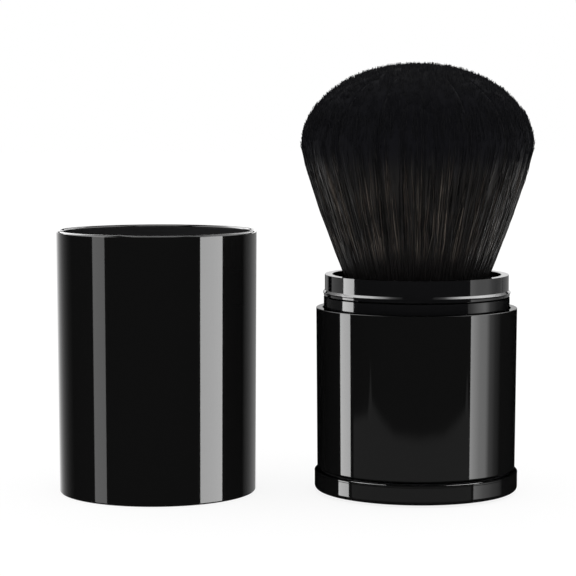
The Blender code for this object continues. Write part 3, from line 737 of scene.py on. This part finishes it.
def hangLamp(box, target, away, size):
    # across and upward: share of the radiance over the lamp's width, towards growing azimuth, and over
    # its height
    lamp = bpy.data.lights.new(box["name"], "AREA")
    lamp.shape = "RECTANGLE"
    lamp.size, lamp.size_y = size
    lamp.energy = box["radiance"] * size[0] * size[1] * math.pi
    lamp.use_nodes = True
    tree = lamp.node_tree
    level = addNode(tree, "ShaderNodeValue")
    level.outputs["Value"].default_value = 1
    spot = addNode(tree, "ShaderNodeNewGeometry")
    axes = addNode(tree, "ShaderNodeSeparateXYZ", links={"Vector": (spot, "Parametric")})
    for axis, stops in (("X", box.get("across")), ("Y", box.get("upward"))):
        if stops:
            ramp = addNode(tree, "ShaderNodeValToRGB", links={"Fac": (axes, axis)})
            setRamp(ramp, stops, toGrey)
            level = addNode(tree, "ShaderNodeMath", links={0: (level, "Value"), 1: (ramp, "Color")},
                            operation="MULTIPLY")
    tree.links.new(level.outputs["Value"], tree.nodes["Emission"].inputs["Strength"])
    holder = bpy.data.objects.new(box["name"], lamp)
    holder.location = target + away * lampDistance
    holder.rotation_mode = "QUATERNION"
    holder.rotation_quaternion = away.to_track_quat("Z", "Y")
    holder.visible_camera = False
    holder.visible_diffuse = box.get("soft", False)
    bpy.context.scene.collection.objects.link(holder)
    holder.light_linking.receiver_collection = glossOf[box["on"]]
    holder.light_linking.blocker_collection = capSet if box["on"] in ("cap", "inside") else brushSet


# Softboxes that stand upright round the pieces, for the long bands: azimuth from and to
stripFoot, stripTop = -0.22, 0.16
softboxes = [
    {"name": "capBright", "on": "cap", "azimuth": (53.3, 83.1), "radiance": 8.4},
    {"name": "capDim", "on": "cap", "azimuth": (-73.9, -57.4), "radiance": 2.2},
    {"name": "capBackLeft", "on": "cap", "azimuth": (-175, -110), "radiance": 1.1,
     "across": [(0, 1), (0.3, 1), (0.46, 0.63), (0.6, 0.34), (0.72, 0.17), (0.85, 0.06), (1, 0)]},
    {"name": "capBackRight", "on": "cap", "azimuth": (119, 175), "radiance": 0.42,
     "across": [(0, 0), (0.12, 0.3), (0.25, 0.55), (0.5, 0.95), (1, 1)]},
    {"name": "bodyStrip", "on": "body", "azimuth": (-99.5, -83.5), "radiance": 7.5},
    {"name": "neckStrip", "on": "neck", "azimuth": (-106, -86.5), "radiance": 7.8},
    {"name": "barrelFade", "on": "barrel", "azimuth": (60.5, 108), "radiance": 5.6,
     "across": [(0, 1), (0.14, 0.75), (0.28, 0.53), (0.46, 0.43), (0.52, 0.28), (0.58, 0.13), (0.77, 0.04),
                (1, 0)]},
    {"name": "neckFade", "on": "collar", "azimuth": (66, 130), "radiance": 1.75,
     "across": [(0, 1), (0.1, 0.85), (0.2, 0.68), (0.45, 0.55), (0.58, 0.3), (0.7, 0.18), (0.86, 0.17),
                (1, 0.25)]},
    {"name": "linerFade", "on": "liner", "azimuth": (62, 135), "radiance": 1.8,
     "across": [(0, 0.22), (0.1, 0.4), (0.25, 0.8), (0.38, 1), (0.43, 0.7), (0.5, 0.23), (0.66, 0.05),
                (0.8, 0.02), (1, 0)]},
    {"name": "ringFade", "on": "ring", "azimuth": (64, 110), "radiance": 2.5,
     "across": [(0, 1), (0.3, 0.5), (0.6, 0.22), (0.85, 0.1), (1, 0)]},
    {"name": "linerPatch", "on": "liner", "azimuth": (-150, -107), "radiance": 0.06},
    {"name": "collarPatch", "on": "collar", "azimuth": (-135, -107), "radiance": 0.45},
    {"name": "collarEdgeLeft", "on": "collar", "azimuth": (-166, -148), "radiance": 0.35},
    {"name": "collarEdgeRight", "on": "collar", "azimuth": (131, 166), "radiance": 0.32},
]
for box in softboxes:
    first, last = (math.radians(a) for a in box["azimuth"])
    middle = (first + last) / 2
    target = Vector((capX if box["on"] == "cap" else 0, 0, (stripFoot + stripTop) / 2))
    size = (2 * lampDistance * math.tan((last - first) / 2), stripTop - stripFoot)
    hangLamp(box, target, Vector((math.sin(middle), -math.cos(middle), 0)), size)

# Low card bent round the front, for the barrel and ring alone. Its top edge hangs down in the middle, so the
# barrel shows it from the base up, with a dark arch over it.
arch = {
    "distance": 0.7, "foot": -0.32, "edge": 0.006, "radiance": 0.21, "from": -79, "to": 61, "steps": 141,
    "top": [(-79, -0.090), (-60, -0.088), (-57.5, -0.08), (-56, -0.062), (-54.5, -0.082), (-42, -0.0915),
            (-28, -0.099), (0, -0.1015), (28, -0.099), (42, -0.093), (54, -0.086), (56.5, -0.062),
            (58, -0.084), (61, -0.088)],  # azimuth and height
}
turns = np.linspace(arch["from"], arch["to"], arch["steps"])
tops = np.interp(turns, *zip(*arch["top"]))
vertices, faces = [], []
for turn, top in zip(np.radians(turns), tops):
    for z in (arch["foot"], top - arch["edge"], top):
        vertices.append((arch["distance"] * math.sin(turn), -arch["distance"] * math.cos(turn), z))
for i in range(arch["steps"] - 1):
    for row in (0, 1):
        a = 3 * i + row
        faces.append((a, a + 1, a + 4, a + 3))
archMesh = bpy.data.meshes.new("frontCard")
archMesh.from_pydata(vertices, [], faces)
glowing = np.tile([1.0, 1.0, 0.0], arch["steps"])  # fades out over the top edge
archMesh.attributes.new("glow", "FLOAT", "POINT").data.foreach_set("value", glowing.astype(np.float32))
frontCard = bpy.data.objects.new("frontCard", archMesh)
bpy.context.scene.collection.objects.link(frontCard)
litCard = bpy.data.materials.new("litCard")
litCard.use_nodes = True
tree = litCard.node_tree
tree.nodes.remove(tree.nodes["Principled BSDF"])
glow = addNode(tree, "ShaderNodeAttribute", attribute_name="glow")
level = addNode(tree, "ShaderNodeMath", {1: arch["radiance"]}, {0: (glow, "Fac")}, operation="MULTIPLY")
light = addNode(tree, "ShaderNodeEmission", {"Color": toGrey(1)}, {"Strength": (level, "Value")})
clear = addNode(tree, "ShaderNodeBsdfTransparent")
both = addNode(tree, "ShaderNodeAddShader", links={0: (clear, "BSDF"), 1: (light, "Emission")})
tree.links.new(both.outputs["Shader"], tree.nodes["Material Output"].inputs["Surface"])
archMesh.materials.append(litCard)
frontCard.visible_camera = frontCard.visible_diffuse = frontCard.visible_shadow = False
frontCard.light_linking.receiver_collection = glossOf["body"]

# Panels above and behind, for edges and flat tops, and round the hair. Each comes from an azimuth and an
# elevation.
panelAim = 0.05  # the height that they point at
towardsBack = [(0, 1), (0.5, 1), (0.62, 0.55), (0.7, 0.24), (0.8, 0.09), (1, 0)]
towardsFront = [(1 - position, value) for position, value in reversed(towardsBack)]
offTheMiddle = [(0, 1), (0.66, 1), (0.7, 0.78), (0.85, 0.12), (0.92, 0.05), (1, 0.02)]
panels = [
    {"name": "rimTop", "on": "cap", "from": (0, 70), "size": (0.6, 0.8), "radiance": 3.0},
    {"name": "rimLeft", "on": "cap", "from": (-95, 30), "size": (1.1, 0.55), "radiance": 4.5},
    {"name": "rimEndLeft", "on": "cap", "from": (-148, 28), "size": (0.5, 0.35), "radiance": 4.5},
    {"name": "rimEndRight", "on": "cap", "from": (148, 28), "size": (0.5, 0.35), "radiance": 3.0},
    {"name": "rimRight", "on": "cap", "from": (105, 43), "size": (1.3, 1.0), "radiance": 3.0,
     "across": towardsBack, "upward": offTheMiddle},
    {"name": "rimBack", "on": "cap", "from": (180, 5), "size": (1.0, 0.13), "radiance": 2.4,
     "across": [(0, 1), (0.4, 0.9), (0.5, 0.6), (0.6, 0.3), (1, 0.15)]},
    {"name": "capInside", "on": "inside", "from": (-100, 35), "size": (0.6, 0.4), "radiance": 0.5,
     "soft": True},
    {"name": "beadLeft", "on": "collar", "from": (-112, 43), "size": (1.2, 1.2), "radiance": 8.5,
     "across": towardsFront, "upward": offTheMiddle},
    {"name": "beadRight", "on": "collar", "from": (112, 43), "size": (1.2, 1.2), "radiance": 8.5,
     "across": towardsBack, "upward": offTheMiddle},
    {"name": "beadEndLeft", "on": "collar", "from": (-148, 28), "size": (0.4, 0.35), "radiance": 0.5},
    {"name": "beadEndRight", "on": "collar", "from": (148, 28), "size": (0.4, 0.35), "radiance": 0.4},
    {"name": "collarBack", "on": "collar", "from": (180, 5), "size": (1.0, 0.13), "radiance": 1.0},
    {"name": "shoulderLeft", "on": "barrel", "from": (-112, 43), "size": (1.2, 1.2), "radiance": 3.6,
     "across": towardsFront, "upward": offTheMiddle},
    {"name": "shoulderRight", "on": "barrel", "from": (112, 43), "size": (1.2, 1.2), "radiance": 3.6,
     "across": towardsBack, "upward": offTheMiddle},
    {"name": "shoulderBack", "on": "barrel", "from": (180, 5), "size": (1.0, 0.13), "radiance": 0.6},
    {"name": "ringLeft", "on": "ring", "from": (-110, 60), "size": (0.3, 0.3), "radiance": 15.0},
    {"name": "ringRight", "on": "ring", "from": (110, 60), "size": (0.3, 0.3), "radiance": 15.0},
    {"name": "hairFront", "on": "hair", "from": (-30, 25), "size": (1.0, 0.7), "radiance": 0.5},
    {"name": "hairBack", "on": "hair", "from": (180, 35), "size": (1.2, 0.4), "radiance": 0.7},
    {"name": "hairLeft", "on": "hair", "from": (-125, -18), "size": (0.4, 0.5), "radiance": 2.0,
     "soft": True},
    {"name": "hairRight", "on": "hair", "from": (125, -18), "size": (0.4, 0.5), "radiance": 3.3,
     "soft": True},
]
for box in panels:
    turn, lift = (math.radians(a) for a in box["from"])
    target = Vector((capX if box["on"] in ("cap", "inside") else 0, 0, panelAim))
    away = Vector((math.sin(turn) * math.cos(lift), -math.cos(turn) * math.cos(lift), math.sin(lift)))
    hangLamp(box, target, away, box["size"])
print("room and lights made")
